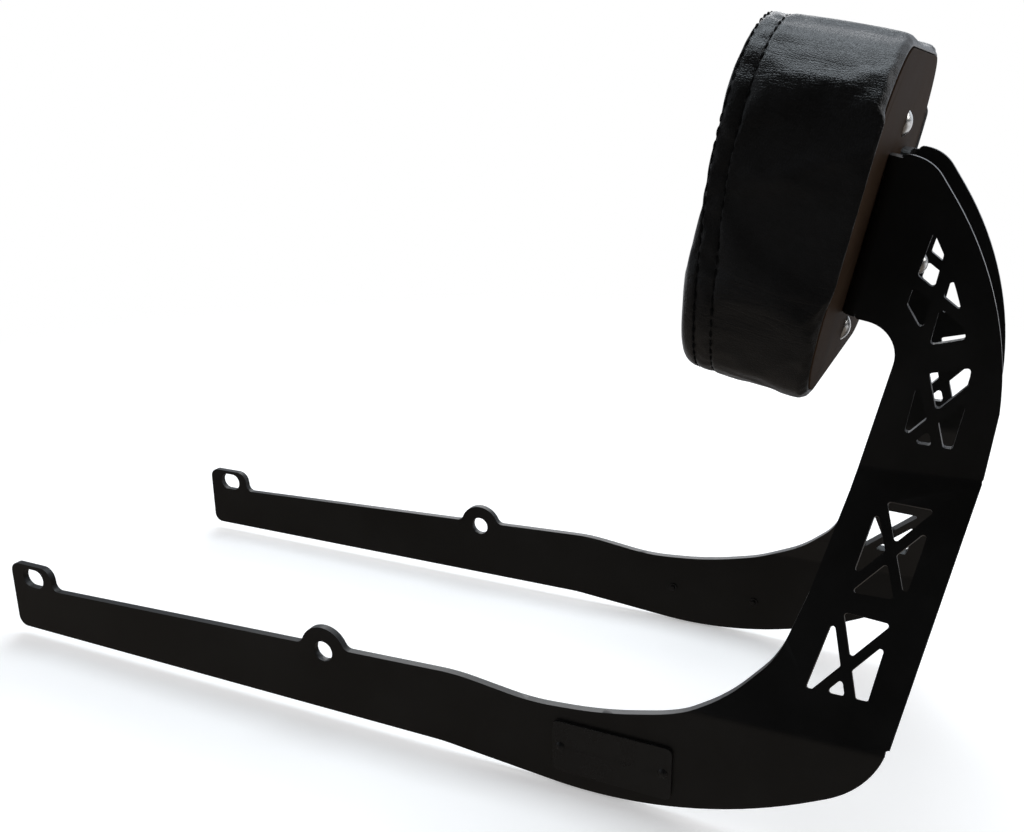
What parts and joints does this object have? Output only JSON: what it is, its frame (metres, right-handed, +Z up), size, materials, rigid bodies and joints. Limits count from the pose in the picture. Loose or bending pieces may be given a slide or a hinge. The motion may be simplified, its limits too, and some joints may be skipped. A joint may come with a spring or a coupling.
{
  "type": "motorcycle backrest",
  "caption": "Upholstered motorcycle backrest pad on two folded side plates with braced windows, blank badge plates, and a slot and hole in each arm for mounting.",
  "frame": {"origin": "middle plane, half way along the length, at the height of the lowest edge of the side plates", "axes": "+X to the rear of the motorcycle, +Y towards the right-hand side plate, +Z up"},
  "size_m": [0.6911, 0.25, 0.448],
  "materials": {
    "plate_coat": "satin",
    "bracket_coat": "satin",
    "zinc": "satin",
    "leatherette": "semi-matte grain",
    "back_sheet": "satin",
    "base_plastic": "matte",
    "foam": "matte",
    "badge_black": "semi-gloss",
    "black_rivet": "satin"
  },
  "bodies": {
    "root": {"left_side_plate": "plate_coat", "right_side_plate": "plate_coat", "left_pad_flange": "plate_coat", "right_pad_flange": "plate_coat", "cross_bracket": "bracket_coat", "dome_bolt": "zinc", "dome_tee_nut": "zinc", "bracket_bolts": "zinc", "bracket_washers": "zinc", "bracket_tee_nuts": "zinc", "pad_base": "base_plastic", "pad_back_plate": "back_sheet", "back_plate_bolts": "zinc", "pad_foam": "foam", "pad_front_panel": "leatherette", "pad_seam_strip": "leatherette", "pad_side_band": "leatherette", "left_badge_plate": "badge_black", "right_badge_plate": "badge_black", "left_badge_rivets": "black_rivet", "right_badge_rivets": "black_rivet", "left_rivet_washers": "black_rivet", "right_rivet_washers": "black_rivet"}
  },
  "joints": []
}
